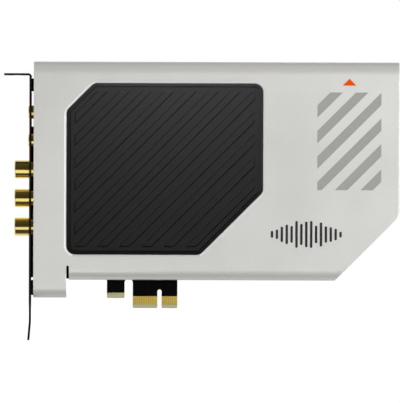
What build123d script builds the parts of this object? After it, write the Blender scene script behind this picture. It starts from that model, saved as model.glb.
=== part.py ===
from build123d import *
import math
import os

# A full-height expansion sound card with a folded metal shroud over its component side.
# The origin is on the lower edge of the edge connector, in the middle of its key slot and
# of the board's thickness. +X runs along the card away from the bracket, +Z away from the
# slot, and the components and the shroud are on the -Y side. Sizes are in millimetres.

# Circuit board
board_thickness = 1.57
board_inset = 0.5            # board edge behind the shroud's outline

# Edge connector, with its key slot and the hook beside it
contact_pitch = 1.0
contact_width = 0.7
contact_thickness = 0.05
contact_setback = 0.2        # lead-in's upper edge to the contacts
contact_top = 5.4
section_margin = 0.55        # end contact's centre to the end of its section
near_contact_count = 11
far_contact_count = 7
key_slot_width = 1.9
key_slot_height = 8.4
lead_in_height = 1.5
lead_in_depth = 0.4
connector_corner_radius = 0.5  # lower corners of the connector and the hook
hook_width = 7.95
hook_gap = 3.7
hook_bottom = 4.5

# Bracket
bracket_thickness = 0.86
bracket_height = 120.02
bracket_width = 18.42
bracket_top_drop = 5.35      # tab's top below the shroud's top edge
bracket_to_key = 58.7        # outer face to the key slot's centre
bracket_rear_reach = 2.5     # edge of the bracket behind the board
bracket_bend = 0.5           # inner bend radius
bracket_hole_clearance = 0.2
tab_length = 11.43
tab_corner_radius = 1.5
notch_width = 4.42
notch_depth = 6.2
tail_width = 10.2
tail_length = 18.0
tail_tip_chamfer = 1.5
tail_lean_height = 8.5
tail_lean = 0.7              # the tail's tip stands this far out
ear_length = 9.0
ear_screw_inset = 3.8        # screw centre to the ear's free end
ear_relief = 0.5
upper_ear_drop = 2.2         # ear's upper edge below the tab's top
upper_ear_width = 5.8
lower_ear_gap = 0.3          # ear above the shroud's foot flange
lower_ear_width = 6.0

# Shroud
sheet_thickness = 1.5
shroud_left = -56.75
shroud_length = 164.3
shroud_bottom = 12.73
shroud_height = 98.15
shroud_headroom = 0.9        # room over the sockets' housings
upper_bend = 5.6             # outer bend radii
lower_bend = 4.4
flange_clearance = 0.4       # flange edges above the board
foot_width = 14.87
foot_drop = 8.0
relief_width = 1.15
relief_height = 6.42
corner_cut = 28.8
corner_cut_radius = 8.0

# Accent panel in its shallow pocket
panel_lower_margin = 11.4    # panel to the shroud's edges; its left edge is in line with the foot's
panel_upper_margin = 9.62
panel_right_margin = 61.16
panel_small_cut = 12.3
panel_large_cut = 28.3
panel_corner_radius = 3.9
panel_clearance = 0.1
pocket_depth = 0.7
pocket_bevel_width = 0.85
pocket_land = 0.1            # upright part of the pocket's edge
adhesive_thickness = 0.15
panel_edge_depth = 0.15      # panel's rim below the shroud's face
panel_rim_width = 1.4
panel_rim_height = 0.65
panel_groove_width = 0.4
panel_groove_depth = 0.25
bar_width = 3.4
bar_pitch = 7.04
bar_height = 0.3
bar_slope = 45.0             # degrees from upright
bar_margin = 3.6             # bar ends to the panel's edge
first_bar_margin = 3.6       # first bar to the panel's upper cut corner
last_bar_margin = 2.4        # least room from the last bar to the panel's lower cut corner

# Printed marks on the shroud
print_thickness = 0.06
stripe_right_margin = 8.05   # stripe field to the shroud's edges
stripe_upper_margin = 13.55
stripe_field_width = 28.7
stripe_field_height = 43.9
stripe_width = 3.95
stripe_pitch = 8.14
stripe_corner_run = 4.05     # field's upper left corner to the first stripe, square to it
pointer_width = 6.2
pointer_gap = 3.1            # stripe field to the pointer's base
wave_gap = 3.6               # waveform to the panel's right edge
wave_lift = 20.76            # waveform's middle above the shroud's lower edge
wave_bar_count = 15
wave_bar_width = 1.1
wave_bar_pitch = 2.2
wave_low = 2.0
wave_high = 13.0
wave_ripple = 1.9            # radians from bar to bar

# Sockets in the bracket
socket_pitch = 12.9
first_socket_drop = 9.4      # first axis below the upper ear
socket_axis_height = 5.8     # axis above the board's front surface
socket_setback = 1.4         # housings behind the bracket
socket_fit = 0.05            # radial clearance of the turned pieces
seat_depth = 3.0             # turned pieces in their housings
lead_length = 0.9            # leads past the rear of the board
lead_hole_clearance = 0.1
housing_edge = 0.4           # housings' bevelled edges
jack_outer_diameter = 6.0
jack_bore_diameter = 3.6
jack_projection = 0.45
jack_mouth_chamfer = 0.3
jack_housing_width = 9.0
jack_housing_length = 13.0
jack_housing_cover = 4.9     # housing beyond the axis
jack_throat_clearance = 0.2  # throat behind the bush, on the radius
jack_throat_length = 8.5
spring_thickness = 0.3
spring_width = 2.0
spring_gap = 0.05            # spring's inner face to the throat
spring_reach = 1.5           # spring past the axis
spring_depths = (8.0, 11.5)  # springs behind the bracket's outer face
pocket_clearance = 0.1
phono_outer_diameter = 8.3
phono_relief = 0.2           # the barrel's rear part is smaller by this on the radius
phono_wall = 0.55
phono_projection = 6.58
phono_step = 0.3             # full diameter ends this far in front of the bracket
phono_lip_chamfer = 0.35
phono_insulator_recess = 0.8
phono_contact_bore = 3.3
phono_contact_wall = 0.45
phono_contact_recess = 1.0
phono_contact_length = 15.0
phono_housing_gap = 1.7      # between neighbouring housings
phono_housing_length = 12.0
phono_housing_cover = 5.2
lug_width = 1.0
lug_thickness = 0.8

# Fasteners
screw_diameter = 2.9
screw_head_diameter = 5.5
screw_head_height = 1.9
screw_head_round = 0.7
screw_recess_length = 2.8
screw_recess_width = 0.7
screw_recess_depth = 1.0
screw_grip = 5.0
ear_screw_grip = 0.5         # past the ear
thread_clearance = 0.05
screw_hole_clearance = 0.15
standoff_flats = 5.0
standoff_hole_room = 1.5     # hole past the screw's end
standoff_edge = 9.3          # upper standoffs from the shroud's top edge
standoff_end = 6.3           # end standoffs from the shroud's right edge
standoff_inner_end = 47.0    # inner upper standoff from the shroud's right edge
standoff_foot_side = 4.0     # upper left standoff past the foot's right edge
standoff_cut_rise = 6.0      # end standoff above the cut corner
standoff_cut_side = 7.0      # lower standoff beside the cut corner
standoff_lower = 8.9         # lower standoff above the shroud's lower edge
standoff_left = 7.5          # foot standoff from the shroud's left edge
standoff_foot_rise = 5.5

# Parts on the board: length, width and height, with places as (x, z)
processor_size = (14.0, 14.0, 1.4)
processor_place = (-2.0, 47.0)
bus_chip_size = (10.0, 10.0, 1.2)
bus_chip_place = (-2.0, 26.0)
output_converter_size = (9.0, 9.0, 1.1)
output_converter_place = (-20.0, 62.0)
input_converter_size = (7.0, 7.0, 1.0)
input_converter_place = (-20.0, 78.0)
memory_size = (5.2, 5.2, 1.9)
memory_place = (16.0, 46.0)
amplifier_size = (5.0, 5.0, 0.9)
amplifier_places = ((-33.0, 86.0), (-33.0, 76.0))
op_amp_size = (4.9, 3.9, 1.6)
op_amp_x = (-36.0, -27.0)
op_amp_z = (36.0, 49.0, 62.0)
regulator_size = (6.5, 3.5, 1.6)
regulator_x = (30.0, 42.0, 54.0)
regulator_z = (45.0,)
crystal_size = (11.4, 4.7, 3.6)
crystal_places = ((-17.0, 48.0), (16.0, 36.0))
film_capacitor_size = (7.2, 4.5, 8.0)
film_capacitor_x = (-36.0, -25.0)
film_capacitor_z = (21.5, 29.0)
relay_size = (10.6, 7.4, 9.0)
relay_x = (-22.0, -8.0)
relay_drop = 12.0            # relays below the board's upper edge
inductor_size = (7.0, 4.2)   # side and height
inductor_x = (30.0, 42.0, 54.0)
inductor_z = (30.0,)
large_capacitor = (8.0, 9.0)      # diameter and height
large_capacitor_start = (30.0, 27.8)  # first column, and first row below the board's upper edge
large_capacitor_column_count = 4
large_capacitor_row_count = 2
small_capacitor = (6.3, 7.7)
small_capacitor_start = (-5.0, 22.8)
small_capacitor_column_count = 3
small_capacitor_row_count = 2
capacitor_gap = 2.6
capacitor_base_height = 1.2
capacitor_base_margin = 0.2
capacitor_neck_rise = 1.4
capacitor_neck_width = 0.7
capacitor_neck_depth = 0.35
chip_edge = 0.3
body_edge = 0.5
leg_pitch = 1.27
leg_count = 4
leg_width = 0.45
leg_metal = 0.2
leg_knee = 0.4
leg_reach = 1.0
leg_lift = 0.15
regulator_leg_pitch = 2.3
regulator_leg_count = 3
regulator_tab_reach = 1.6
regulator_tab_overlap = 0.2
regulator_tab_metal = 0.3
crystal_flange = 0.4
inductor_foot = 1.0
inductor_core_inset = 0.3

# Derived places
board_front = -board_thickness / 2
board_rear = board_thickness / 2
bracket_outer = -bracket_to_key
bracket_inner = bracket_outer + bracket_thickness
bracket_rear = board_rear + bracket_rear_reach
bracket_front = bracket_rear - bracket_width
shroud_right = shroud_left + shroud_length
shroud_top = shroud_bottom + shroud_height
bracket_top = shroud_top - bracket_top_drop
tail_bottom = bracket_top - bracket_height
upper_ear_bottom = bracket_top - upper_ear_drop - upper_ear_width
shroud_face = board_front - socket_axis_height - phono_housing_cover - shroud_headroom - sheet_thickness
shroud_inner = shroud_face + sheet_thickness
flange_edge = board_front - flange_clearance
foot_right = shroud_left + foot_width
foot_bottom = shroud_bottom - foot_drop
board_left = shroud_left + board_inset
board_right = shroud_right - board_inset
board_top = shroud_top - board_inset
board_bottom = shroud_bottom + board_inset
lower_ear_bottom = foot_bottom + sheet_thickness + lower_ear_gap
panel_left = foot_right
panel_right = shroud_right - panel_right_margin
panel_bottom = shroud_bottom + panel_lower_margin
panel_top = shroud_top - panel_upper_margin
panel_back = shroud_face + pocket_depth - adhesive_thickness
panel_rim = shroud_face + panel_edge_depth
panel_face = panel_rim - panel_rim_height
stripe_right = shroud_right - stripe_right_margin
stripe_left = stripe_right - stripe_field_width
stripe_top = shroud_top - stripe_upper_margin
stripe_bottom = stripe_top - stripe_field_height
tongue_left = -key_slot_width / 2 - (near_contact_count - 1) * contact_pitch - 2 * section_margin
tongue_right = key_slot_width / 2 + (far_contact_count - 1) * contact_pitch + 2 * section_margin
contact_bottom = lead_in_height + contact_setback
hook_right = tongue_left - hook_gap
hook_left = hook_right - hook_width
first_socket_height = upper_ear_bottom - first_socket_drop
lug_top = first_socket_height - socket_pitch / 2  # the board's edge steps out below the first socket
socket_axis = board_front - socket_axis_height
housing_front = bracket_thickness + socket_setback
board_depth = socket_axis_height + board_thickness
lead_hole_diameter = math.hypot(lug_width, lug_thickness) + 2 * lead_hole_clearance
jack_throat_diameter = jack_bore_diameter + 2 * jack_throat_clearance
spring_offset = jack_throat_diameter / 2 + spring_gap
phono_rear_diameter = phono_outer_diameter - 2 * phono_relief
phono_bore_diameter = phono_rear_diameter - 2 * phono_wall
phono_contact_diameter = phono_contact_bore + 2 * phono_contact_wall
screw_hole_diameter = screw_diameter + 2 * screw_hole_clearance
thread_diameter = screw_diameter + 2 * thread_clearance
standoff_hole_depth = screw_grip + standoff_hole_room
ear_tip = bracket_inner + ear_length
ear_screw_x = ear_tip - ear_screw_inset
ears = ((upper_ear_bottom, upper_ear_width), (lower_ear_bottom, lower_ear_width))
cut_growth = 2 - math.sqrt(2)
over = 1.0                   # how far cutting shapes run past what they cut

standoff_places = (
    (foot_right + standoff_foot_side, shroud_top - standoff_edge),
    (shroud_right - standoff_inner_end, shroud_top - standoff_edge),
    (shroud_right - standoff_end, shroud_top - standoff_edge),
    (shroud_right - standoff_end, shroud_bottom + corner_cut + standoff_cut_rise),
    (shroud_right - corner_cut - standoff_cut_side, shroud_bottom + standoff_lower),
    (shroud_left + standoff_left, shroud_bottom + standoff_foot_rise),
)
ear_screw_places = [(ear_screw_x, low + width / 2) for low, width in ears]


def facing(y):
    """Plane at depth y whose sketches are in (x, z) and extrude towards the front."""
    return Plane(origin=(0, y, 0), x_dir=(1, 0, 0), z_dir=(0, -1, 0))


def rect(left, right, low, high):
    return Pos((left + right) / 2, (low + high) / 2) * Rectangle(right - left, high - low)


def disc(x, z, diameter):
    return Pos(x, z) * Circle(diameter / 2)


def outline(*points):
    return Polygon(*points, align=None)


def prism(sketch, rear, front):
    """Solid between two depths from a sketch in (x, z)."""
    return extrude(facing(rear) * sketch, amount=rear - front)


def along_x(sketch, left, right):
    """Solid between two lengths from a sketch in (y, z)."""
    return extrude(Plane.YZ.offset(left) * sketch, amount=right - left)


def rod(diameter, low, high):
    return Pos(0, 0, (low + high) / 2) * Cylinder(diameter / 2, high - low)


def block(xs, ys, zs):
    size = [high - low for low, high in (xs, ys, zs)]
    return Pos(sum(xs) / 2, sum(ys) / 2, sum(zs) / 2) * Box(*size)


def group(solids):
    return Compound(children=[part.solid() for part in solids])


# Circuit board and its edge connector

def board_sketch():
    cut_foot = shroud_right - board_inset - (corner_cut - board_inset * cut_growth)
    cut_head = board_bottom + (board_right - cut_foot)
    body = outline(
        (board_left, board_bottom),
        (cut_foot, board_bottom),
        (board_right, cut_head),
        (board_right, board_top),
        (board_left, board_top),
    )
    lug = rect(bracket_inner, board_left + over, board_bottom + board_inset, lug_top)
    ear_top = lower_ear_bottom + lower_ear_width
    foot_lug = rect(bracket_inner, board_left + over, foot_bottom + 2 * board_inset, ear_top)
    foot = rect(board_left, foot_right - board_inset, foot_bottom + board_inset, board_bottom + over)
    hook = rect(hook_left, hook_right, hook_bottom, board_bottom + over)
    hook = fillet(hook.vertices().group_by(Axis.Y)[0], connector_corner_radius)
    tongue = rect(tongue_left, tongue_right, 0, board_bottom + over)
    arch_middle = (hook_right + tongue_left) / 2
    arch_centre = board_bottom - hook_gap / 2
    web = rect(hook_right, tongue_left, arch_centre, board_bottom + over)
    key_centre = key_slot_height - key_slot_width / 2
    key = rect(-key_slot_width / 2, key_slot_width / 2, -over, key_centre)
    key += disc(0, key_centre, key_slot_width)
    board = body + lug + foot + foot_lug + hook + tongue + web
    board -= disc(arch_middle, arch_centre, hook_gap) + key
    return fillet(board.vertices().group_by(Axis.Y)[0], connector_corner_radius)


def lead_in(left, right, low):
    """The two wedges that bevel the board's lower edge between left and right."""
    inner = board_rear - lead_in_depth
    wedge = outline(
        (inner, low - over),
        (board_rear + over, low - over),
        (board_rear + over, low + lead_in_height),
        (board_rear, low + lead_in_height),
        (inner, low),
    )
    rear = along_x(wedge, left, right)
    return rear + mirror(rear, about=Plane.XZ)


def circuit_board():
    sketch = board_sketch()
    for x, z in list(standoff_places) + ear_screw_places:
        sketch -= disc(x, z, screw_hole_diameter)
    for x, z in lead_places():
        sketch -= disc(x, z, lead_hole_diameter)
    board = prism(sketch, board_rear, board_front)
    board -= lead_in(tongue_left - over, tongue_right + over, 0)
    return board - lead_in(hook_left - over, hook_right + over, hook_bottom)


def contact_places():
    near = [-key_slot_width / 2 - section_margin - i * contact_pitch for i in range(near_contact_count)]
    far = [key_slot_width / 2 + section_margin + i * contact_pitch for i in range(far_contact_count)]
    return near + far


def edge_contacts(rear, front):
    half = contact_width / 2
    pads = [rect(x - half, x + half, contact_bottom, contact_top) for x in contact_places()]
    return group(prism(pad, rear, front) for pad in pads)


# Bracket, folded from one strip

def quarter_bend(sketch_x, sketch_y, start):
    """Quarter of the bend's section, from the start angle anticlockwise."""
    outer = bracket_bend + bracket_thickness
    ring = Circle(outer) - Circle(bracket_bend)
    return Pos(sketch_x, sketch_y) * Rot(0, 0, start) * (ring & rect(0, outer, 0, outer))


def bracket_section():
    seat = bracket_top - bracket_thickness
    lean_top = tail_bottom + tail_lean_height
    bend_x = bracket_outer - bracket_bend
    bend_z = seat - bracket_bend
    plate = rect(bracket_outer, bracket_inner, lean_top, bend_z)
    tab = rect(bracket_outer - tab_length, bend_x, seat, bracket_top)
    tail = outline(
        (bracket_outer - tail_lean, tail_bottom),
        (bracket_inner - tail_lean, tail_bottom),
        (bracket_inner, lean_top),
        (bracket_outer, lean_top),
    )
    return plate + tab + tail + quarter_bend(bend_x, bend_z, 0)


def bracket_front_view():
    """The strip's outline in (y, z), with the tail and the cut-outs beside the ears."""
    middle = (bracket_front + bracket_rear) / 2
    shoulder = tail_bottom + tail_length
    tail_half = tail_width / 2
    taper = (bracket_width - tail_width) / 2
    tip = tail_half - tail_tip_chamfer
    strip = outline(
        (middle - tip, tail_bottom - over),
        (middle + tip, tail_bottom - over),
        (middle + tip, tail_bottom),
        (middle + tail_half, tail_bottom + tail_tip_chamfer),
        (middle + tail_half, shoulder - taper),
        (bracket_rear, shoulder),
        (bracket_rear, bracket_top + over),
        (bracket_front, bracket_top + over),
        (bracket_front, shoulder),
        (middle - tail_half, shoulder - taper),
        (middle - tail_half, tail_bottom + tail_tip_chamfer),
        (middle - tip, tail_bottom),
    )
    ear_root = board_front - bracket_thickness - bracket_bend
    for low, width in ears:
        strip -= rect(ear_root, bracket_rear + over, low - ear_relief, low + width + ear_relief)
    return strip


def bracket_ear(low, width):
    bend_x = bracket_inner + bracket_bend
    bend_y = board_front - bracket_thickness - bracket_bend
    section = rect(bend_x, ear_tip, board_front - bracket_thickness, board_front)
    section += quarter_bend(bend_x, bend_y, 90)
    return extrude(Plane.XY.offset(low) * section, amount=width)


def bracket():
    strip = prism(bracket_section(), bracket_rear, bracket_front)
    strip &= along_x(bracket_front_view(), bracket_outer - tab_length - over, bracket_inner + over)
    tip_edges = strip.edges().filter_by(Axis.Z).group_by(Axis.X)[0]
    strip = fillet(tip_edges, tab_corner_radius)
    for low, width in ears:
        strip += bracket_ear(low, width)
    for x, z in ear_screw_places:
        hole = disc(x, z, thread_diameter)
        strip -= prism(hole, board_front + over, board_front - bracket_thickness - over)
    for index, diameter in enumerate(socket_diameters()):
        hole_diameter = diameter + 2 * bracket_hole_clearance
        strip -= socket_place(index) * rod(hole_diameter, -over - bracket_thickness, over)
    notch_x = bracket_outer - tab_length / 2
    notch_y = bracket_rear - notch_depth + notch_width / 2
    notch = rect(notch_x - notch_width / 2, notch_x + notch_width / 2, notch_y, bracket_rear + over)
    notch += disc(notch_x, notch_y, notch_width)
    return strip - extrude(Plane.XY.offset(bracket_top - over) * notch, amount=2 * over)


# Shroud, folded from one sheet

def bent(section, inset):
    """The section with its front corners rounded for the two bends, at inset from their outer sides."""
    lower_corner = section.vertices().group_by(Axis.X)[0].sort_by(Axis.Y)[0]
    section = fillet(lower_corner, lower_bend - inset)
    upper_corner = section.vertices().group_by(Axis.X)[0].sort_by(Axis.Y)[-1]
    return fillet(upper_corner, upper_bend - inset)


def channel(left, right, bottom):
    """A length of the folded sheet: front, top flange and bottom flange."""
    outer = rect(shroud_face, flange_edge, bottom, shroud_top)
    inner = rect(shroud_inner, flange_edge + over, bottom + sheet_thickness, shroud_top - sheet_thickness)
    return along_x(bent(outer, 0) - bent(inner, sheet_thickness), left, right)


def shroud_front_view():
    left = shroud_left - over
    low = foot_bottom - over
    view = outline(
        (left, low),
        (shroud_right - corner_cut - (shroud_bottom - low), low),
        (shroud_right, shroud_bottom + corner_cut),
        (shroud_right, shroud_top + over),
        (left, shroud_top + over),
    )
    corner = view.vertices().sort_by_distance((shroud_right, shroud_bottom + corner_cut))[0]
    return fillet(corner, corner_cut_radius)


def shroud():
    body = channel(shroud_left, foot_right, foot_bottom)
    body += channel(foot_right, shroud_right + over, shroud_bottom)
    body &= prism(shroud_front_view(), flange_edge + over, shroud_face - over)
    relief_top = shroud_bottom + relief_height
    relief_middle = foot_right + relief_width / 2
    relief_centre = relief_top - relief_width / 2
    relief = rect(foot_right, foot_right + relief_width, foot_bottom - over, relief_centre)
    relief += disc(relief_middle, relief_centre, relief_width)
    body -= prism(relief, flange_edge + over, shroud_face - over)
    body -= prism(panel_sketch(panel_clearance), shroud_face + pocket_depth, shroud_face - over)
    bevel_depth = pocket_depth - pocket_land
    rim = facing(shroud_face + bevel_depth) * panel_sketch(panel_clearance)
    slope = math.degrees(math.atan2(pocket_bevel_width, bevel_depth))
    return body - extrude(rim, amount=bevel_depth, taper=-slope)


# Accent panel

def panel_corners(grow):
    left = panel_left - grow
    right = panel_right + grow
    low = panel_bottom - grow
    high = panel_top + grow
    small = panel_small_cut + grow * cut_growth
    large = panel_large_cut + grow * cut_growth
    return (
        (left, low),
        (right - large, low),
        (right, low + large),
        (right, high),
        (left + small, high),
        (left, high - small),
    )


def panel_sketch(grow):
    """The panel's rounded outline, moved outwards by grow."""
    sharp = outline(*panel_corners(grow))
    return fillet(sharp.vertices(), panel_corner_radius + grow)


def diagonal_strips(start, end, width, pitch, field):
    """Strips running up to the right at 45 degrees, cut to the field; start and end are values of x - z."""
    run = math.sqrt(2)
    box = field.bounding_box()
    count = 1 + math.floor((end - start - width * run) / (pitch * run))
    for i in range(count):
        near = start + i * pitch * run
        far = near + width * run
        strip = outline(
            (near + box.min.Y - over, box.min.Y - over),
            (far + box.min.Y - over, box.min.Y - over),
            (far + box.max.Y + over, box.max.Y + over),
            (near + box.max.Y + over, box.max.Y + over),
        )
        yield strip & field


def accent_panel():
    panel = prism(panel_sketch(0), panel_back, panel_rim)
    slope = math.degrees(math.atan2(panel_rim_width, panel_rim_height))
    panel += extrude(facing(panel_rim) * panel_sketch(0), amount=panel_rim_height, taper=slope)
    groove = panel_sketch(-panel_rim_width) - panel_sketch(-panel_rim_width - panel_groove_width)
    panel -= prism(groove, panel_face + panel_groove_depth, panel_face - over)
    field = outline(*panel_corners(-bar_margin))
    start = panel_left - (panel_top - panel_small_cut) + first_bar_margin * math.sqrt(2)
    end = panel_right - (panel_bottom + panel_large_cut) - last_bar_margin * math.sqrt(2)
    for bar in diagonal_strips(start, end, bar_width, bar_pitch, field):
        panel += extrude(facing(panel_face) * bar, amount=bar_height, taper=bar_slope)
    return panel


def panel_adhesive():
    return prism(panel_sketch(0), shroud_face + pocket_depth, panel_back)


# Printed marks

def printed(sketch):
    return prism(sketch, shroud_face, shroud_face - print_thickness)


def stripe_print():
    field = rect(stripe_left, stripe_right, stripe_bottom, stripe_top)
    start = stripe_left - stripe_top + stripe_corner_run * math.sqrt(2)
    end = stripe_right - stripe_bottom
    strips = diagonal_strips(start, end, stripe_width, stripe_pitch, field)
    return group(printed(strip) for strip in strips)


def pointer_print():
    middle = (stripe_left + stripe_right) / 2
    low = stripe_top + pointer_gap
    half = pointer_width / 2
    return printed(outline((middle - half, low), (middle + half, low), (middle, low + half)))


def waveform_print():
    bars = []
    for i in range(wave_bar_count):
        swell = math.sin(math.pi * (i + 0.5) / wave_bar_count)
        ripple = (1 + abs(math.cos(wave_ripple * i))) / 2
        height = wave_low + (wave_high - wave_low) * swell * ripple
        x = panel_right + wave_gap + wave_bar_width / 2 + i * wave_bar_pitch
        bars.append(Pos(x, shroud_bottom + wave_lift) * SlotOverall(height, wave_bar_width, rotation=90))
    return group(printed(bar) for bar in bars)


# Sockets; in their own frame z is 0 at the bracket's outer face and points out of the card,
# x is along the row of sockets and y points at the board

def socket_place(index):
    height = first_socket_height - index * socket_pitch
    plane = Plane(origin=(bracket_outer, socket_axis, height), x_dir=(0, 0, 1), z_dir=(-1, 0, 0))
    return plane.location


def socket_diameters():
    return [jack_outer_diameter] * len(jack_names) + [phono_outer_diameter] * len(phono_names)


def jack_spring_frames():
    """Middle of each spring across the socket, and its depth behind the bracket."""
    middle = spring_offset + spring_thickness / 2
    return [(side * middle, -depth) for side, depth in zip((-1, 1), spring_depths)]


def phono_lead_depths():
    """Depths of the barrel's ground lead and the contact's lead behind the bracket."""
    ground = -housing_front - seat_depth + lug_thickness / 2
    contact = -phono_contact_recess + phono_projection - phono_contact_length + lug_thickness / 2
    return ground, contact


def lead_places():
    """Board positions (x, z) of every socket lead."""
    places = []
    for index in range(len(socket_diameters())):
        height = first_socket_height - index * socket_pitch
        if index < len(jack_names):
            offsets = jack_spring_frames()
        else:
            offsets = [(0, depth) for depth in phono_lead_depths()]
        places += [(bracket_outer - depth, height + across) for across, depth in offsets]
    return places


def socket_housing(width, cover, length):
    rear = -housing_front - length
    body = block((-width / 2, width / 2), (-cover, socket_axis_height), (rear, -housing_front))
    return chamfer(body.edges().filter_by(Axis.Z), housing_edge)


def jack_housing():
    body = socket_housing(jack_housing_width, jack_housing_cover, jack_housing_length)
    seat = -housing_front - seat_depth
    body -= rod(jack_outer_diameter + 2 * socket_fit, seat, over)
    body -= rod(jack_throat_diameter, seat - jack_throat_length, over)
    gap = pocket_clearance
    for middle, depth in jack_spring_frames():
        side = math.copysign(1, middle)
        outer = middle + side * (spring_thickness / 2 + gap)
        inner = side * (spring_offset - spring_thickness)
        body -= block(
            (min(inner, outer), max(inner, outer)),
            (-spring_reach - gap, socket_axis_height + over),
            (depth - spring_width / 2 - gap, depth + spring_width / 2 + gap),
        )
    return body


def jack_bush():
    front = jack_projection
    rear = -housing_front - seat_depth
    bush = rod(jack_outer_diameter, rear, front) - rod(jack_bore_diameter, rear - over, front + over)
    mouth = bush.faces().sort_by(Axis.Z)[-1].edges()
    return chamfer(mouth, jack_mouth_chamfer)


def jack_springs():
    blades = []
    for middle, depth in jack_spring_frames():
        across = (middle - spring_thickness / 2, middle + spring_thickness / 2)
        blade = block(
            across,
            (-spring_reach, socket_axis_height),
            (depth - spring_width / 2, depth + spring_width / 2),
        )
        lead = block(
            across,
            (socket_axis_height, board_depth + lead_length),
            (depth - lug_width / 2, depth + lug_width / 2),
        )
        blades.append(blade + lead)
    return blades


def lead_strip(start, depth, room):
    """A lead from the socket towards the board; room widens it into its pocket in the housing."""
    half = lug_width / 2 + room
    end = socket_axis_height + over if room else board_depth + lead_length
    half_thick = lug_thickness / 2 + room
    return block((-half, half), (start, end), (depth - half_thick, depth + half_thick))


def phono_housing():
    body = socket_housing(socket_pitch - phono_housing_gap, phono_housing_cover, phono_housing_length)
    seat = -housing_front - seat_depth
    contact_rear = phono_projection - phono_contact_recess - phono_contact_length
    body -= rod(phono_rear_diameter + 2 * socket_fit, seat - socket_fit, over)
    body -= rod(phono_contact_diameter + 2 * socket_fit, contact_rear - socket_fit, over)
    ground, contact = phono_lead_depths()
    body -= lead_strip(phono_rear_diameter / 2 - lug_thickness, ground, pocket_clearance)
    return body - lead_strip(0, contact, pocket_clearance)


def phono_barrel():
    rear = -housing_front - seat_depth
    barrel = rod(phono_rear_diameter, rear, phono_projection)
    barrel += rod(phono_outer_diameter, phono_step, phono_projection)
    barrel = chamfer(barrel.faces().sort_by(Axis.Z)[-1].edges(), phono_lip_chamfer)
    wall_middle = (phono_rear_diameter + phono_bore_diameter) / 4
    barrel += lead_strip(wall_middle, phono_lead_depths()[0], 0)
    return barrel - rod(phono_bore_diameter, rear - over, phono_projection + over)


def phono_insulator():
    rear = -housing_front - seat_depth
    front = phono_projection - phono_insulator_recess
    body = rod(phono_bore_diameter - 2 * socket_fit, rear, front)
    return body - rod(phono_contact_diameter + 2 * socket_fit, rear - over, front + over)


def phono_contact():
    front = phono_projection - phono_contact_recess
    rear = front - phono_contact_length
    wall_middle = (phono_contact_diameter + phono_contact_bore) / 4
    tube = rod(phono_contact_diameter, rear, front)
    tube += lead_strip(wall_middle, phono_lead_depths()[1], 0)
    return tube - rod(phono_contact_bore, rear - over, front + over)


# Fasteners; the screws come through the board from the rear

def screw(x, z, grip):
    body = rod(screw_head_diameter, 0, screw_head_height)
    body = fillet(body.faces().sort_by(Axis.Z)[-1].edges(), screw_head_round)
    body += rod(screw_diameter, -board_thickness - grip, 0)
    half_long = screw_recess_length / 2
    half_wide = screw_recess_width / 2
    depth = (screw_head_height - screw_recess_depth, screw_head_height + over)
    body -= block((-half_long, half_long), (-half_wide, half_wide), depth)
    body -= block((-half_wide, half_wide), (-half_long, half_long), depth)
    return Plane(origin=(x, board_rear, z), x_dir=(1, 0, 0), z_dir=(0, 1, 0)).location * body


def standoff(x, z):
    post = Pos(x, z) * RegularPolygon(standoff_flats / 2, 6, major_radius=False)
    hole = prism(disc(x, z, thread_diameter), board_front + over, board_front - standoff_hole_depth)
    return prism(post, board_front, shroud_inner) - hole


# Parts on the board; in their own frame z rises from the board's front surface

def on_board(x, z, part):
    plane = Plane(origin=(x, board_front, z), x_dir=(1, 0, 0), z_dir=(0, -1, 0))
    return plane.location * part


def centred(length, width, low, high):
    return block((-length / 2, length / 2), (-width / 2, width / 2), (low, high))


def flat_chip(length, width, height):
    return chamfer(centred(length, width, 0, height).edges().filter_by(Axis.Z), chip_edge)


def legged_chip(length, width, height, pitch=leg_pitch, count=leg_count):
    """Moulded body on bent legs down two sides."""
    body = centred(length, width, leg_lift, height)
    rise = height / 2
    for i in range(count):
        x = (i - (count - 1) / 2) * pitch
        across = (x - leg_width / 2, x + leg_width / 2)
        for side in (-1, 1):
            near = side * width / 2
            knee = near + side * leg_knee
            heel = knee - side * leg_metal
            toe = near + side * leg_reach
            body += block(across, sorted((near, knee)), (rise - leg_metal, rise))
            body += block(across, sorted((heel, knee)), (0, rise))
            body += block(across, sorted((heel, toe)), (0, leg_metal))
    return body


def regulator(length, width, height):
    """Moulded body with a wide tab on one side and three legs on each."""
    body = legged_chip(length, width, height, regulator_leg_pitch, regulator_leg_count)
    side = (width / 2 - regulator_tab_overlap, width / 2 + regulator_tab_reach)
    return body + block((-length / 4, length / 4), side, (0, regulator_tab_metal))


def crystal(length, width, height):
    can = extrude(SlotOverall(length, width), amount=height)
    rim = SlotOverall(length + 2 * crystal_flange, width + 2 * crystal_flange)
    can = fillet(can.faces().sort_by(Axis.Z)[-1].edges(), body_edge)
    return can + extrude(rim, amount=crystal_flange)


def soft_block(length, width, height):
    body = centred(length, width, 0, height)
    top_edges = body.faces().sort_by(Axis.Z)[-1].edges()
    return fillet(body.edges().filter_by(Axis.Z) + top_edges, body_edge)


def inductor(side, height):
    base = centred(side, side, 0, inductor_foot)
    base = chamfer(base.edges().filter_by(Axis.Z), side / 6)
    return base + rod(side - 2 * inductor_core_inset, inductor_foot, height)


def capacitor_base(diameter):
    side = diameter + 2 * capacitor_base_margin
    plate = centred(side, side, 0, capacitor_base_height)
    return chamfer(plate.edges().filter_by(Axis.Z).group_by(Axis.X)[-1], diameter / 6)


def capacitor_can(diameter, height):
    can = rod(diameter, capacitor_base_height, height)
    can = fillet(can.faces().sort_by(Axis.Z)[-1].edges(), body_edge)
    low = capacitor_base_height + capacitor_neck_rise
    neck = rod(diameter + over, low, low + capacitor_neck_width)
    return can - (neck - rod(diameter - 2 * capacitor_neck_depth, 0, height))


def crossings(columns, rows):
    return [(x, z) for x in columns for z in rows]


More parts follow.
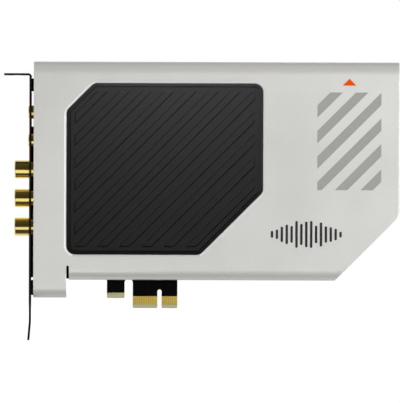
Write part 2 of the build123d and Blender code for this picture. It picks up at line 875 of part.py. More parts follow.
def capacitor_places(diameter, start, column_count, row_count):
    step = diameter + 2 * capacitor_base_margin + capacitor_gap
    columns = [start[0] + i * step for i in range(column_count)]
    rows = [board_top - start[1] - i * step for i in range(row_count)]
    return crossings(columns, rows)


def large_capacitor_places():
    counts = (large_capacitor_column_count, large_capacitor_row_count)
    return capacitor_places(large_capacitor[0], large_capacitor_start, *counts)


def small_capacitor_places():
    counts = (small_capacitor_column_count, small_capacitor_row_count)
    return capacitor_places(small_capacitor[0], small_capacitor_start, *counts)


def board_parts(part, places):
    return [on_board(x, z, part) for x, z in places]


def board_group(part, places):
    return group(board_parts(part, places))


def capacitor_bases():
    large = board_parts(capacitor_base(large_capacitor[0]), large_capacitor_places())
    return group(large + board_parts(capacitor_base(small_capacitor[0]), small_capacitor_places()))


def capacitor_cans():
    large = board_parts(capacitor_can(*large_capacitor), large_capacitor_places())
    return group(large + board_parts(capacitor_can(*small_capacitor), small_capacitor_places()))


# Every piece by name
jack_names = ("headphone_jack", "microphone_jack")
phono_names = ("line_left", "line_right", "digital_out")

pieces = {
    "circuit_board": circuit_board(),
    "edge_contacts_front": edge_contacts(board_front, board_front - contact_thickness),
    "edge_contacts_rear": edge_contacts(board_rear + contact_thickness, board_rear),
    "bracket": bracket(),
    "bracket_screws": group(screw(x, z, bracket_thickness + ear_screw_grip) for x, z in ear_screw_places),
    "shroud": shroud(),
    "shroud_standoffs": group(standoff(x, z) for x, z in standoff_places),
    "shroud_screws": group(screw(x, z, screw_grip) for x, z in standoff_places),
    "accent_panel": accent_panel(),
    "panel_adhesive": panel_adhesive(),
    "stripe_print": stripe_print(),
    "pointer_print": pointer_print(),
    "waveform_print": waveform_print(),
    "audio_processor": on_board(*processor_place, flat_chip(*processor_size)),
    "bus_interface_chip": on_board(*bus_chip_place, flat_chip(*bus_chip_size)),
    "output_converter": on_board(*output_converter_place, flat_chip(*output_converter_size)),
    "input_converter": on_board(*input_converter_place, flat_chip(*input_converter_size)),
    "firmware_memory": on_board(*memory_place, legged_chip(*memory_size)),
    "headphone_amplifiers": board_group(flat_chip(*amplifier_size), amplifier_places),
    "op_amps": board_group(legged_chip(*op_amp_size), crossings(op_amp_x, op_amp_z)),
    "voltage_regulators": board_group(
        regulator(*regulator_size), crossings(regulator_x, regulator_z)
    ),
    "clock_crystals": board_group(crystal(*crystal_size), crystal_places),
    "capacitor_bases": capacitor_bases(),
    "capacitor_cans": capacitor_cans(),
    "film_capacitors": board_group(
        soft_block(*film_capacitor_size), crossings(film_capacitor_x, film_capacitor_z)
    ),
    "relays": board_group(soft_block(*relay_size), crossings(relay_x, [board_top - relay_drop])),
    "power_inductors": board_group(inductor(*inductor_size), crossings(inductor_x, inductor_z)),
}
for index, name in enumerate(jack_names):
    place = socket_place(index)
    pieces[f"{name}_housing"] = place * jack_housing()
    pieces[f"{name}_bush"] = place * jack_bush()
    pieces[f"{name}_springs"] = group(place * blade for blade in jack_springs())
for index, name in enumerate(phono_names, start=len(jack_names)):
    place = socket_place(index)
    pieces[f"{name}_housing"] = place * phono_housing()
    pieces[f"{name}_barrel"] = place * phono_barrel()
    pieces[f"{name}_insulator"] = place * phono_insulator()
    pieces[f"{name}_contact"] = place * phono_contact()

os.makedirs("parts", exist_ok=True)
for name, piece in pieces.items():
    export_step(piece, f"parts/{name}.step")
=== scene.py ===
import math
import random

import bmesh
import bpy
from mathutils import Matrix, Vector


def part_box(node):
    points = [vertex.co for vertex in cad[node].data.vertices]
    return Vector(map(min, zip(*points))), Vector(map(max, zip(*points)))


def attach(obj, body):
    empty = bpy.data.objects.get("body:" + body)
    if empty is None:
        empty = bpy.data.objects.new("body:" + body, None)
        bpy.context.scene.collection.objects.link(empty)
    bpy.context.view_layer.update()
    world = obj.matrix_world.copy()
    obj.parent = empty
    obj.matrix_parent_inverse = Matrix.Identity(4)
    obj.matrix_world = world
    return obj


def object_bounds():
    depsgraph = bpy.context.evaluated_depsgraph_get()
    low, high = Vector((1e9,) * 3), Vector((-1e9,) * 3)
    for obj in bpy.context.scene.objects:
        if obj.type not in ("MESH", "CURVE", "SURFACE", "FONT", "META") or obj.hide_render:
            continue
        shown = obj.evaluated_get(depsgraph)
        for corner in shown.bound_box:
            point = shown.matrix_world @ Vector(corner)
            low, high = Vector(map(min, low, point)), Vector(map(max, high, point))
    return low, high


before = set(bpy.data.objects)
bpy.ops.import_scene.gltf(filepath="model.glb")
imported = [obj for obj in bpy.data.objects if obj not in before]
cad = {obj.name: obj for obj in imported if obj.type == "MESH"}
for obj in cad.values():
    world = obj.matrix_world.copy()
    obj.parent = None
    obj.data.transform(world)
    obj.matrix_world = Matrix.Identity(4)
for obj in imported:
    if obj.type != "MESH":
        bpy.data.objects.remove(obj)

scene = bpy.context.scene
cadLow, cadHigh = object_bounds()
mm = 0.001
white = (1, 1, 1, 1)
black = (0, 0, 0, 1)


# Camera: square on to the shroud's face, far back, with the photograph's slight roll
cameraSettings = {
    "lens": 1000, "sensor": 36, "clipEnd": 20, "place": (0.01812, -5.045, 0.04814), "roll": 0.0034,
}


def makeCamera(settings):
    data = bpy.data.cameras.new("camera")
    data.lens = settings["lens"]
    data.sensor_width = settings["sensor"]
    data.clip_end = settings["clipEnd"]
    camera = bpy.data.objects.new("camera", data)
    camera.location = settings["place"]
    camera.rotation_euler = (math.pi / 2, -settings["roll"], 0)
    scene.collection.objects.link(camera)
    scene.camera = camera


makeCamera(cameraSettings)
scene.view_settings.view_transform = "Standard"
print("camera done")


# Shader helpers
def tone(red, green, blue):
    def linear(value):  # from a screen's 0 to 255
        share = value / 255
        return share / 12.92 if share <= 0.04045 else ((share + 0.055) / 1.055) ** 2.4
    return (linear(red), linear(green), linear(blue), 1)


def scaled(colour, factor):
    return tuple(value * factor for value in colour[:3]) + (1,)


def within(value, limits):
    low, high = limits
    return low < value < high


def add(tree, kind, inputs=None, **settings):
    made = tree.nodes.new(kind)
    for key, value in settings.items():
        setattr(made, key, value)
    for key, value in (inputs or {}).items():
        connect(tree, made.inputs[key], value)
    return made


def connect(tree, socket, value):
    if isinstance(value, bpy.types.NodeSocket):
        tree.links.new(value, socket)
    else:
        socket.default_value = value


def calc(tree, operation, first, second=0.0):
    return add(tree, "ShaderNodeMath", {0: first, 1: second}, operation=operation).outputs[0]


def span(tree, value, low, high, toLow=0.0, toHigh=1.0):
    inputs = {"Value": value, "From Min": low, "From Max": high, "To Min": toLow, "To Max": toHigh}
    return add(tree, "ShaderNodeMapRange", inputs).outputs[0]


def blendColour(tree, factor, first, second):
    return add(tree, "ShaderNodeMix", {0: factor, 6: first, 7: second}, data_type="RGBA").outputs[2]


def blendValue(tree, factor, first, second):
    return add(tree, "ShaderNodeMix", {0: factor, 2: first, 3: second}).outputs[0]


def noise(tree, vector, detail, scale=1.0, roughness=0.55):
    inputs = {"Vector": vector, "Scale": scale, "Detail": detail, "Roughness": roughness}
    return add(tree, "ShaderNodeTexNoise", inputs).outputs["Fac"]


def makeGroup(name, inputs, outputs):
    group = bpy.data.node_groups.new(name, "ShaderNodeTree")
    for label, kind, value in inputs:
        group.interface.new_socket(label, in_out="INPUT", socket_type=kind).default_value = value
    for label, kind in outputs:
        group.interface.new_socket(label, in_out="OUTPUT", socket_type=kind)
    entry = group.nodes.new("NodeGroupInput")
    leave = group.nodes.new("NodeGroupOutput")
    return group, entry.outputs, leave.inputs


def useGroup(tree, group, inputs):
    made = tree.nodes.new("ShaderNodeGroup")
    made.node_tree = group
    for key, value in inputs.items():
        connect(tree, made.inputs[key], value)
    return made.outputs


# Effects shared by several materials
effectSettings = {
    "grain": {"coarser": 0.22, "coarseHeight": 0.3, "coarseShade": 0.5, "contrast": (0.3, 0.7)},
    "smudge": {"finer": 5.0, "fineShare": 0.35, "contrast": (0.32, 0.68)},
    "edge": {"samples": 6, "patches": (0.35, 0.65), "bend": (0.998, 0.93)},
}


def makeGrain(settings):
    group, entry, leave = makeGroup(
        "fineGrain", [("Scale", "NodeSocketFloat", 2000.0)],
        [("Height", "NodeSocketFloat"), ("Shade", "NodeSocketFloat")])
    place = add(group, "ShaderNodeTexCoord").outputs["Object"]
    coarseScale = calc(group, "MULTIPLY", entry["Scale"], settings["coarser"])
    fine = noise(group, place, detail=3.0, scale=entry["Scale"])
    coarse = noise(group, place, detail=2.0, scale=coarseScale)
    mixed = blendValue(group, settings["coarseShade"], fine, coarse)
    connect(group, leave["Height"], blendValue(group, settings["coarseHeight"], fine, coarse))
    connect(group, leave["Shade"], span(group, mixed, *settings["contrast"]))
    return group


def makeSmudge(settings):
    group, entry, leave = makeGroup(
        "softSmudge", [("Scale", "NodeSocketFloat", 40.0)], [("Mask", "NodeSocketFloat")])
    place = add(group, "ShaderNodeTexCoord").outputs["Object"]
    smallScale = calc(group, "MULTIPLY", entry["Scale"], settings["finer"])
    broad = noise(group, place, detail=4.0, scale=entry["Scale"])
    small = noise(group, place, detail=3.0, scale=smallScale)
    mixed = blendValue(group, settings["fineShare"], broad, small)
    connect(group, leave["Mask"], span(group, mixed, *settings["contrast"]))
    return group


def makeLines():
    group, entry, leave = makeGroup(
        "drawnLines", [("Stretch", "NodeSocketVector", (2000.0, 20.0, 20.0))],
        [("Height", "NodeSocketFloat")])
    place = add(group, "ShaderNodeTexCoord").outputs["Object"]
    stretched = add(group, "ShaderNodeVectorMath", {0: place, 1: entry["Stretch"]}, operation="MULTIPLY")
    connect(group, leave["Height"], noise(group, stretched.outputs[0], detail=3.0))
    return group


def makeEdge(settings):
    group, entry, leave = makeGroup(
        "edgeMask", [("Radius", "NodeSocketFloat", 0.0003), ("Break", "NodeSocketFloat", 900.0)],
        [("Mask", "NodeSocketFloat"), ("Normal", "NodeSocketVector")])
    samples = settings["samples"]
    rounded = add(group, "ShaderNodeBevel", {"Radius": entry["Radius"]}, samples=samples).outputs[0]
    flat = add(group, "ShaderNodeNewGeometry").outputs["Normal"]
    facing = add(group, "ShaderNodeVectorMath", {0: rounded, 1: flat}, operation="DOT_PRODUCT")
    place = add(group, "ShaderNodeTexCoord").outputs["Object"]
    broken = span(group, noise(group, place, detail=3.0, scale=entry["Break"]), *settings["patches"])
    bent = span(group, facing.outputs["Value"], *settings["bend"])
    connect(group, leave["Mask"], calc(group, "MULTIPLY", bent, broken))
    connect(group, leave["Normal"], rounded)
    return group


grainGroup = makeGrain(effectSettings["grain"])
smudgeGroup = makeSmudge(effectSettings["smudge"])
linesGroup = makeLines()
edgeGroup = makeEdge(effectSettings["edge"])
print("effects done")


# One recipe for the card's finishes; each gives its own settings
cloudShare = 0.5  # how far a smudge takes the colour to its faded tone


def surface(name, settings):
    made = bpy.data.materials.new(name)
    made.use_nodes = True
    tree = made.node_tree
    shader = tree.nodes["Principled BSDF"]
    grain = useGroup(tree, grainGroup, {"Scale": settings["grain"]})
    smudge = useGroup(tree, smudgeGroup, {"Scale": settings["smudge"]})["Mask"]
    base = settings["colour"]
    spread = settings["spread"]
    colour = blendColour(tree, grain["Shade"], scaled(base, 1 - spread), scaled(base, 1 + spread))
    if "bare" in settings:
        colour = blendColour(tree, settings["bare"](tree), colour, settings["bareColour"])
    if "cloud" in settings:
        share = calc(tree, "MULTIPLY", smudge, cloudShare)
        colour = blendColour(tree, share, colour, scaled(base, 1 - settings["cloud"]))
    height = grain["Height"]
    if "lines" in settings:
        drawn = useGroup(tree, linesGroup, {"Stretch": settings["lines"]})["Height"]
        height = blendValue(tree, settings.get("lineShare", 0.7), height, drawn)
    bump = add(tree, "ShaderNodeBump", {"Height": height, "Strength": 1.0, "Distance": settings["bump"]})
    if "edge" in settings:
        edge = useGroup(tree, edgeGroup, {"Radius": settings["edge"]})
        connect(tree, bump.inputs["Normal"], edge["Normal"])
        if "worn" in settings:
            worn = calc(tree, "MULTIPLY", edge["Mask"], settings["wornShare"])
            colour = blendColour(tree, worn, colour, settings["worn"])
    connect(tree, shader.inputs["Base Color"], colour)
    connect(tree, shader.inputs["Roughness"], span(tree, smudge, 0, 1, *settings["rough"]))
    connect(tree, shader.inputs["Normal"], bump.outputs["Normal"])
    shader.inputs["Metallic"].default_value = settings.get("metal", 0.0)
    shader.inputs["Specular IOR Level"].default_value = settings.get("shine", 0.5)
    return made


def surfaces(finishes):
    return {name: surface(name, settings) for name, settings in finishes.items()}


def dress(name, made):
    mesh = cad[name].data
    mesh.materials.clear()
    mesh.materials.append(made)


# A rule names a face's finish, from its middle in millimetres and its normal
def dressByRule(name, finishes, rule):
    mesh = cad[name].data
    mesh.materials.clear()
    for made in finishes.values():
        mesh.materials.append(made)
    order = list(finishes)
    for face in mesh.polygons:
        face.material_index = order.index(rule(face.center / mm, face.normal))


# Stage: white to the camera; dim in front and overhead, so that bends and gold mirror something dark
worldSettings = {
    "front": (0.054, 0.046, 0.022, 1), "behind": white, "above": (0.62, 0.62, 0.62, 1),
    "overhead": (0.084, 0.078, 0.055, 1),
    "turn": (-0.2, 0.5), "rise": (0.05, 0.25), "overheadRise": (0.5, 0.97),  # along the direction's y and z
}
# The floor glows to the camera, and in gloss only where it lies behind the card; distances in metres
floorSettings = {
    "reach": 6.0, "seen": (0.1, 0.1, 0.1, 1), "felt": (0.27, 0.27, 0.27, 1),
    "mirrored": (0.08, 0.08, 0.08, 1), "glowNear": 0.95, "glowFar": 1.0, "glowReach": (0.3, 1.0),
    "shroudStart": (-0.058, -0.053), "brightBySockets": (-0.015, 0.015), "brightByShroud": (-0.025, 0.0),
}
# mirrored: gloss shows the lamp; felt: it lights matt colour; only: the pieces that it lights
lampSettings = {
    "key": {"place": (0.64, -0.95, 0.1), "size": (0.45, 0.2), "power": 8.6},
    "fill": {"place": (-0.45, -1.2, 0.22), "size": (0.7, 0.42), "power": 6.3, "mirrored": False},
    "top": {"place": (0.02, -0.12, 1.1), "size": (0.6, 0.6), "power": 2.3, "mirrored": False},
    "side": {"place": (0.72, -0.28, 0.2), "size": (0.3, 0.5), "power": 1.0, "felt": False},
    "sheen": {
        "place": (0.014, -0.09, 0.172), "size": (0.1, 0.03), "power": 0.65, "mirrored": False,
        "only": ("accent_panel",),
    },
    "card": {
        "place": (-0.075, -0.29, -0.0125), "aim": (-0.075, -0.29, 1.0), "size": (0.14, 0.43), "power": 0.2,
        "felt": False,
    },
    "rear": {"place": (-0.4, 1.2, 0.7), "size": (0.8, 0.8), "power": 16.0, "mirrored": False},
    "rim": {
        "place": (-0.07, 0.5, 0.5), "size": (0.6, 0.6), "power": 0.6, "felt": False,
        "only": ("line_left_barrel", "line_right_barrel", "digital_out_barrel"),
    },
}


def makeWorld(settings):
    world = bpy.data.worlds.new("studio")
    world.use_nodes = True
    scene.world = world
    tree = world.node_tree
    background = tree.nodes["Background"]
    direction = add(tree, "ShaderNodeTexCoord").outputs["Generated"]
    parts = add(tree, "ShaderNodeSeparateXYZ", {0: direction}).outputs
    rise = span(tree, parts["Z"], *settings["rise"])
    turn = span(tree, parts["Y"], *settings["turn"])
    overheadRise = span(tree, parts["Z"], *settings["overheadRise"])
    backdrop = blendColour(tree, rise, settings["behind"], settings["above"])
    colour = blendColour(tree, turn, settings["front"], backdrop)
    colour = blendColour(tree, overheadRise, colour, settings["overhead"])
    seen = add(tree, "ShaderNodeLightPath").outputs["Is Camera Ray"]
    connect(tree, background.inputs["Color"], blendColour(tree, seen, colour, white))


def makeLamp(name, settings):
    data = bpy.data.lights.new(name, "AREA")
    data.shape = "RECTANGLE"
    data.size, data.size_y = settings["size"]
    data.energy = settings["power"]
    lamp = bpy.data.objects.new(name, data)
    lamp.location = settings["place"]
    aim = Vector(settings.get("aim", (cadLow + cadHigh) / 2)) - lamp.location
    lamp.rotation_euler = aim.to_track_quat("-Z", "Y").to_euler()
    lamp.visible_camera = False
    lamp.visible_glossy = settings.get("mirrored", True)
    lamp.visible_diffuse = settings.get("felt", True)
    scene.collection.objects.link(lamp)
    if "only" in settings:
        lit = bpy.data.collections.new(name + "Lit")
        for piece in settings["only"]:
            lit.objects.link(cad[piece])
        lamp.light_linking.receiver_collection = lit


def makeFloor(settings):
    reach = settings["reach"]
    corners = [(-reach, -reach, 0), (reach, -reach, 0), (reach, reach, 0), (-reach, reach, 0)]
    mesh = bpy.data.meshes.new("floor")
    mesh.from_pydata(corners, [], [(0, 1, 2, 3)])
    floor = bpy.data.objects.new("floor", mesh)
    floor.location.z = cadLow.z
    scene.collection.objects.link(floor)
    made = bpy.data.materials.new("floorWhite")
    made.use_nodes = True
    tree = made.node_tree
    shader = tree.nodes["Principled BSDF"]
    shader.inputs["Roughness"].default_value = 1.0
    shader.inputs["Specular IOR Level"].default_value = 0.0
    shader.inputs["Emission Strength"].default_value = 1.0
    rays = add(tree, "ShaderNodeLightPath").outputs
    seen = rays["Is Camera Ray"]
    mirrored = calc(tree, "MAXIMUM", rays["Is Glossy Ray"], rays["Is Transmission Ray"])
    place = add(tree, "ShaderNodeTexCoord").outputs["Object"]
    parts = add(tree, "ShaderNodeSeparateXYZ", {0: place}).outputs
    distance = add(tree, "ShaderNodeVectorMath", {0: place}, operation="LENGTH").outputs["Value"]
    glow = span(tree, distance, *settings["glowReach"], settings["glowNear"], settings["glowFar"])
    underShroud = span(tree, parts["X"], *settings["shroudStart"])
    bySockets = span(tree, parts["Y"], *settings["brightBySockets"])
    byShroud = span(tree, parts["Y"], *settings["brightByShroud"])
    behind = blendValue(tree, underShroud, bySockets, byShroud)
    bright = calc(tree, "MAXIMUM", seen, calc(tree, "MULTIPLY", mirrored, behind))
    colour = blendColour(tree, mirrored, settings["felt"], settings["mirrored"])
    colour = blendColour(tree, seen, colour, settings["seen"])
    connect(tree, shader.inputs["Base Color"], colour)
    connect(tree, shader.inputs["Emission Color"], blendColour(tree, bright, black, glow))
    mesh.materials.append(made)


makeWorld(worldSettings)
makeFloor(floorSettings)
for lampName, lampChoice in lampSettings.items():
    makeLamp(lampName, lampChoice)
print("stage done")


# Shroud: satin silver-grey coat; the pocket's bevel carries a painted highlight, brightest on its side
# slopes, dimmer on its upper slope and dimmest on its lower one
shroudCoat = {
    "colour": tone(215, 215, 213), "spread": 0.025, "cloud": 0.02, "grain": 2600, "smudge": 22,
    "rough": (0.3, 0.4), "bump": 0.000012, "edge": 0.00025, "worn": tone(232, 232, 229), "wornShare": 0.35,
    "metal": 0.34,
}
# Painted highlight: the bevel's side slopes are coloured near white
shroudBevelPaintedLight = {
    "colour": tone(242, 242, 240), "spread": 0.02, "grain": 3000, "smudge": 60, "rough": (0.3, 0.42),
    "bump": 0.000004, "lines": (300, 3000, 300),
}
# Copies of the painted highlight, dimmer on the upper slope and dimmest on the lower one, as painted shade by
# which way each slope faces
shroudLedgePaintedShade = {**shroudBevelPaintedLight, "colour": tone(211, 211, 209)}  # the pocket's lower bevel
shroudBrowPaintedLight = {**shroudBevelPaintedLight, "colour": tone(228, 228, 226)}  # and its upper one
shroudFinishes = {
    "shroudCoat": shroudCoat, "shroudBevelPaintedLight": shroudBevelPaintedLight, "shroudLedgePaintedShade": shroudLedgePaintedShade,
    "shroudBrowPaintedLight": shroudBrowPaintedLight,
}
# Millimetres round the panel and below the front, then parts of a normal
bevelPlace = {"margin": 2.0, "depth": (0.005, 0.685), "tilt": (0.2, 0.95), "sideways": 0.2}
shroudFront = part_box("shroud")[0].y / mm
panelLow, panelHigh = (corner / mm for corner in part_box("accent_panel"))


# The pocket's bevel faces take the painted highlight or its dimmer copies, by which way they face
def shroudFace(place, normal):
    margin = bevelPlace["margin"]
    across = within(place.x, (panelLow.x - margin, panelHigh.x + margin))
    upward = within(place.z, (panelLow.z - margin, panelHigh.z + margin))
    sunk = within(place.y - shroudFront, bevelPlace["depth"])
    tilted = within(abs(normal.y), bevelPlace["tilt"])
    if not (across and upward and sunk and tilted):
        return "shroudCoat"
    if abs(normal.x) > bevelPlace["sideways"]:
        return "shroudBevelPaintedLight"
    return "shroudLedgePaintedShade" if normal.z > 0 else "shroudBrowPaintedLight"


dressByRule("shroud", surfaces(shroudFinishes), shroudFace)

# Accent panel: dark plastic with a fine moulded texture, with painted shade on the bars' slopes and in the
# rim's groove
panelPlastic = {
    "colour": tone(22, 22, 22), "spread": 0.12, "cloud": 0.05, "grain": 4200, "smudge": 30,
    "rough": (0.55, 0.64), "bump": 0.00002, "shine": 0.05, "edge": 0.00012, "worn": tone(70, 70, 71),
    "wornShare": 0.25,
}
# Painted shade: a near-black copy of the plastic for the bars' slopes that face down or left, and for the
# rim's groove short of its right side
panelGroovePaintedShade = {
    "colour": tone(4, 4, 4), "spread": 0.12, "grain": 4200, "smudge": 30, "rough": (0.6, 0.7),
    "bump": 0.00001, "shine": 0.02,
}
# Lighter painted shade: for the bars' slopes that face up and to the left
panelSlopePaintedShade = {**panelGroovePaintedShade, "colour": tone(10, 10, 10), "shine": 0.03}
panelFinishes = {"panelPlastic": panelPlastic, "panelGroovePaintedShade": panelGroovePaintedShade, "panelSlopePaintedShade": panelSlopePaintedShade}
adhesiveFilm = {
    "colour": tone(40, 40, 40), "spread": 0.1, "grain": 3000, "smudge": 80, "rough": (0.7, 0.85),
    "bump": 0.00001,
}
# Millimetres below the bars' tops and in from the right, then parts of a normal
panelPlace = {
    "barDepth": 0.285, "grooveDepth": (0.315, 0.585), "plainRight": 2.0,
    "flat": 0.95, "rounded": (0.8, 0.97), "shaded": -0.2, "barEnd": -0.6,
}


# Bars' slopes facing down or left, and the rim's groove short of its right side, get the painted shade;
# slopes facing up and left get the lighter painted shade; slopes facing right or up stay plain plastic
def panelFace(place, normal):
    depth = place.y - panelLow.y
    if depth < panelPlace["barDepth"] and abs(normal.y) < panelPlace["flat"]:
        if normal.z < panelPlace["shaded"] or normal.x < panelPlace["barEnd"]:
            return "panelGroovePaintedShade"
        return "panelSlopePaintedShade" if normal.x < panelPlace["shaded"] else "panelPlastic"
    sunk = within(depth, panelPlace["grooveDepth"])
    rounded = within(abs(normal.y), panelPlace["rounded"])
    atRight = place.x >= panelHigh.x - panelPlace["plainRight"]
    return "panelGroovePaintedShade" if sunk and not rounded and not atRight else "panelPlastic"


dressByRule("accent_panel", surfaces(panelFinishes), panelFace)
dress("panel_adhesive", surface("adhesiveFilm", adhesiveFilm))

# Prints: stripes, pointer and waveform
stripeInk = {
    "colour": tone(150, 150, 148), "spread": 0.04, "grain": 3400, "smudge": 50, "rough": (0.5, 0.6),
    "bump": 0.000008,
}
pointerInk = {**stripeInk, "colour": tone(222, 78, 4), "rough": (0.55, 0.65), "shine": 0.03}
waveInk = {**stripeInk, "colour": tone(12, 12, 12), "spread": 0.1}
dress("stripe_print", surface("stripeInk", stripeInk))
dress("pointer_print", surface("pointerInk", pointerInk))
dress("waveform_print", surface("waveInk", waveInk))
print("shroud done")

# Bracket and screws
bracketBlack = {
    "colour": tone(30, 28, 26), "shine": 0.4, "spread": 0.15, "cloud": 0.1, "grain": 2400, "smudge": 35,
    "rough": (0.34, 0.5), "bump": 0.000015, "edge": 0.0002, "worn": tone(84, 82, 80), "wornShare": 0.3,
}
bracketEdge = {**bracketBlack, "colour": tone(29, 19, 11), "shine": 0.02, "worn": tone(70, 68, 66)}
# Painted shade: the bracket's inner face, beside the shroud, is coloured darker and has no shine
bracketInsidePaintedShade = {
    "colour": tone(9, 8, 7), "shine": 0.0, "spread": 0.15, "cloud": 0.1, "grain": 2400, "smudge": 35,
    "rough": (0.6, 0.75), "bump": 0.000015,
}
bracketFinishes = {
    "bracketBlack": bracketBlack, "bracketEdge": bracketEdge, "bracketInsidePaintedShade": bracketInsidePaintedShade,
}
screwSteel = {
    "colour": tone(84, 84, 88), "spread": 0.1, "grain": 3000, "smudge": 150, "rough": (0.28, 0.45),
    "bump": 0.000008, "metal": 1.0, "edge": 0.0001, "worn": tone(180, 180, 182), "wornShare": 0.5,
    "lines": (900, 100, 900),
}
standoffBrass = {
    "colour": tone(196, 160, 92), "spread": 0.06, "grain": 3000, "smudge": 120, "rough": (0.25, 0.4),
    "bump": 0.000006, "metal": 1.0, "lines": (40, 2500, 40),
}
squareOn = 0.9  # least part of a normal along an axis


# Faces looking along +x, the bracket's inner side, take the painted shade
def bracketFace(place, normal):
    if abs(normal.y) > squareOn:
        return "bracketEdge"
    return "bracketInsidePaintedShade" if normal.x > squareOn else "bracketBlack"


dressByRule("bracket", surfaces(bracketFinishes), bracketFace)
screwMetal = surface("screwSteel", screwSteel)
for name in ("bracket_screws", "shroud_screws"):
    dress(name, screwMetal)
dress("shroud_standoffs", surface("standoffBrass", standoffBrass))

# Sockets: turned and gold plated, in black housings
jackNames = ("headphone_jack", "microphone_jack")
phonoNames = ("line_left", "line_right", "digital_out")
turnedGold = {
    "colour": tone(236, 213, 130), "spread": 0.03, "grain": 2600, "smudge": 160, "rough": (0.1, 0.18),
    "bump": 0.0000015, "metal": 1.0, "lines": (5200, 30, 30), "lineShare": 0.8, "edge": 0.00008,
}
padGold = {
    "colour": tone(214, 183, 66), "spread": 0.05, "grain": 2600, "smudge": 140, "rough": (0.4, 0.5),
    "bump": 0.000003, "metal": 0.85, "lines": (4000, 60, 90),
}
housingBlack = {
    "colour": tone(22, 22, 23), "spread": 0.1, "grain": 3200, "smudge": 90, "rough": (0.42, 0.56),
    "bump": 0.00001, "edge": 0.00012, "worn": tone(60, 60, 61), "wornShare": 0.2,
}
insulatorWhite = {
    "colour": tone(228, 226, 218), "spread": 0.03, "grain": 2600, "smudge": 120, "rough": (0.35, 0.5),
    "bump": 0.000008,
}
springMetal = {
    "colour": tone(205, 178, 112), "spread": 0.05, "grain": 2600, "smudge": 120, "rough": (0.25, 0.4),
    "bump": 0.000004, "metal": 1.0,
}
goldMetal = surface("turnedGold", turnedGold)
contactGold = surface("padGold", padGold)
housingPlastic = surface("housingBlack", housingBlack)
insulatorPlastic = surface("insulatorWhite", insulatorWhite)
springStrip = surface("springMetal", springMetal)
for name in jackNames:
    dress(name + "_bush", goldMetal)
    dress(name + "_housing", housingPlastic)
    dress(name + "_springs", springStrip)
for name in phonoNames:
    dress(name + "_barrel", goldMetal)
    dress(name + "_contact", goldMetal)
    dress(name + "_housing", housingPlastic)
    dress(name + "_insulator", insulatorPlastic)
for name in ("edge_contacts_front", "edge_contacts_rear"):
    dress(name, contactGold)
print("sockets done")

# Circuit board: black mask that stops short of the contacts, bare lead-in bevels, layered edges
contactLow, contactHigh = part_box("edge_contacts_front")
bareMargin = 0.00065
bareAreas = {  # left, right and top, in metres
    "connector": (contactLow.x - bareMargin, contactHigh.x + bareMargin, contactHigh.z),
    "hook": (-0.025, -0.015, 0.00695),
}


def bareMask(tree):
    place = add(tree, "ShaderNodeTexCoord").outputs["Object"]
    parts = add(tree, "ShaderNodeSeparateXYZ", {0: place}).outputs
    masks = []
    for left, right, top in bareAreas.values():
        pastLeft = calc(tree, "GREATER_THAN", parts["X"], left)
        shortOfRight = calc(tree, "LESS_THAN", parts["X"], right)
        underTop = calc(tree, "LESS_THAN", parts["Z"], top)
        across = calc(tree, "MULTIPLY", pastLeft, shortOfRight)
        masks.append(calc(tree, "MULTIPLY", across, underTop))
    return calc(tree, "MAXIMUM", *masks)


boardMask = {
    "colour": tone(4, 4, 4), "shine": 0.04, "spread": 0.2, "cloud": 0.15, "grain": 1500, "smudge": 45,
    "rough": (0.3, 0.42), "bump": 0.000008, "bare": bareMask, "bareColour": tone(178, 170, 124),
}
boardBevel = {
    "colour": tone(174, 170, 138), "spread": 0.06, "grain": 2200, "smudge": 200, "rough": (0.6, 0.75),
    "bump": 0.00002, "lines": (60, 60, 3500),
}
boardEdge = {
    "colour": tone(26, 25, 22), "spread": 0.3, "grain": 2600, "smudge": 120, "rough": (0.6, 0.8),
    "bump": 0.00003, "lines": (80, 6000, 80),
}
boardFinishes = {"boardMask": boardMask, "boardBevel": boardBevel, "boardEdge": boardEdge}
boardPlace = {"flat": 0.99, "slanted": 0.1, "bevelTop": 8.0}  # parts of a normal, then millimetres


def boardFace(place, normal):
    if abs(normal.y) > boardPlace["flat"]:
        return "boardMask"
    slanted = abs(normal.y) > boardPlace["slanted"]
    return "boardBevel" if slanted and place.z < boardPlace["bevelTop"] else "boardEdge"


dressByRule("circuit_board", surfaces(boardFinishes), boardFace)

# Parts on the board
chipBlack = {
    "colour": tone(34, 34, 35), "spread": 0.12, "grain": 2800, "smudge": 140, "rough": (0.5, 0.66),
    "bump": 0.000015, "edge": 0.0001, "worn": tone(70, 70, 72), "wornShare": 0.25,
}
legMetal = {
    "colour": tone(196, 196, 192), "spread": 0.06, "grain": 3000, "smudge": 200, "rough": (0.28, 0.4),
    "bump": 0.000006, "metal": 1.0,
}
canMetal = {
    "colour": tone(205, 205, 203), "spread": 0.03, "grain": 2600, "smudge": 120, "rough": (0.26, 0.4),
    "bump": 0.000006, "metal": 0.9, "lines": (60, 2400, 60),
}
crystalMetal = {
    "colour": tone(190, 190, 186), "spread": 0.04, "grain": 2600, "smudge": 160, "rough": (0.22, 0.36),
    "bump": 0.000006, "metal": 1.0, "lines": (1800, 60, 60),
}
filmCase = {
    "colour": tone(52, 82, 124), "spread": 0.05, "grain": 2400, "smudge": 120, "rough": (0.28, 0.4),
    "bump": 0.00001,
}
relayCase = {
    "colour": tone(222, 218, 204), "spread": 0.03, "grain": 2600, "smudge": 90, "rough": (0.4, 0.52),
    "bump": 0.00001,
}
ferriteCore = {
    "colour": tone(62, 62, 64), "spread": 0.15, "grain": 2200, "smudge": 150, "rough": (0.6, 0.75),
    "bump": 0.00003,
}
plainChips = (
    "audio_processor", "bus_interface_chip", "output_converter", "input_converter", "headphone_amplifiers",
)
leggedChips = {  # the rows' heights and half a body's height, in millimetres
    "firmware_memory": {"rows": (46.0,), "half": 2.6},
    "op_amps": {"rows": (36.0, 49.0, 62.0), "half": 1.95},
    "voltage_regulators": {"rows": (45.0,), "half": 1.75},
}
